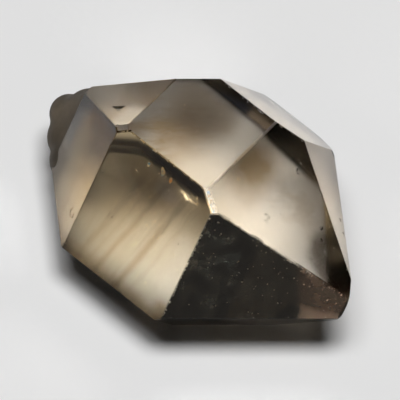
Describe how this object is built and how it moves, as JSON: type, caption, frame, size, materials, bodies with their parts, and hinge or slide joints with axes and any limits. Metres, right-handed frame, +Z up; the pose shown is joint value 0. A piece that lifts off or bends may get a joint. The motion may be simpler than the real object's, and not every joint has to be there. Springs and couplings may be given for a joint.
{
  "type": "herkimer diamond",
  "caption": "Loose smoky quartz crystal pointed at both ends, with glassy flat faces and a knobbly grown-over end, lying on a prism face.",
  "frame": {"origin": "centre of the crystal's bounding box in X and Y, on the ground plane that its bottom prism face rests on", "axes": "+X along the crystal's long axis towards its sharp end, -X towards the knobbly end; -Y towards the broad upper front prism face; +Z up, square to the top and bottom prism faces"},
  "size_m": [0.0126, 0.0088, 0.0065],
  "materials": {
    "smoky_quartz": "polished-looking natural crystal faces, clear with a smoky brown tint, small chips along the edges"
  },
  "bodies": {
    "root": {"crystal": "smoky_quartz"}
  },
  "joints": []
}
